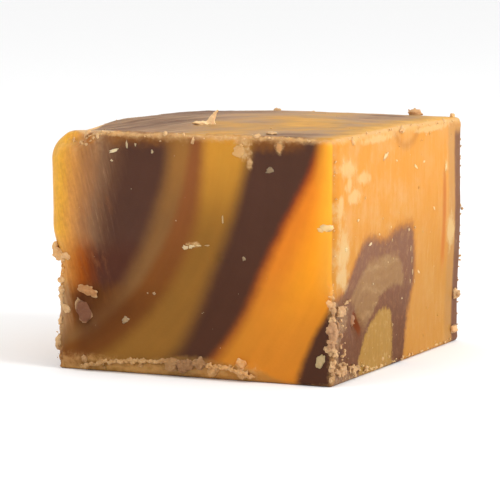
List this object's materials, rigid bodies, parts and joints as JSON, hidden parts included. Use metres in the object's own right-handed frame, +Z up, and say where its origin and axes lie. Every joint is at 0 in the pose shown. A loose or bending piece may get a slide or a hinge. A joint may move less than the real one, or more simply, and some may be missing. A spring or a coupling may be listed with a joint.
{
  "type": "fudge",
  "caption": "Hand-cut block of marbled chocolate and caramel fudge with a gently crowned top, a flat underside, crumbly cut edges and small torn flakes.",
  "frame": {"origin": "middle of the block's box, at the level of the flat underside, which lies at z = 0", "axes": "+Z up, from the flat underside to the crowned top and the block's shortest side; +Y along the block's longest side, from the wide striped cut face to the back; +X towards the smeared cut face"},
  "size_m": [0.0298, 0.0338, 0.0237],
  "materials": {
    "fudge": "waxy cut fudge, orange caramel marbled with dark brown chocolate, with pale crumbs on the edges"
  },
  "bodies": {
    "root": {"fudge": "fudge"}
  },
  "joints": []
}
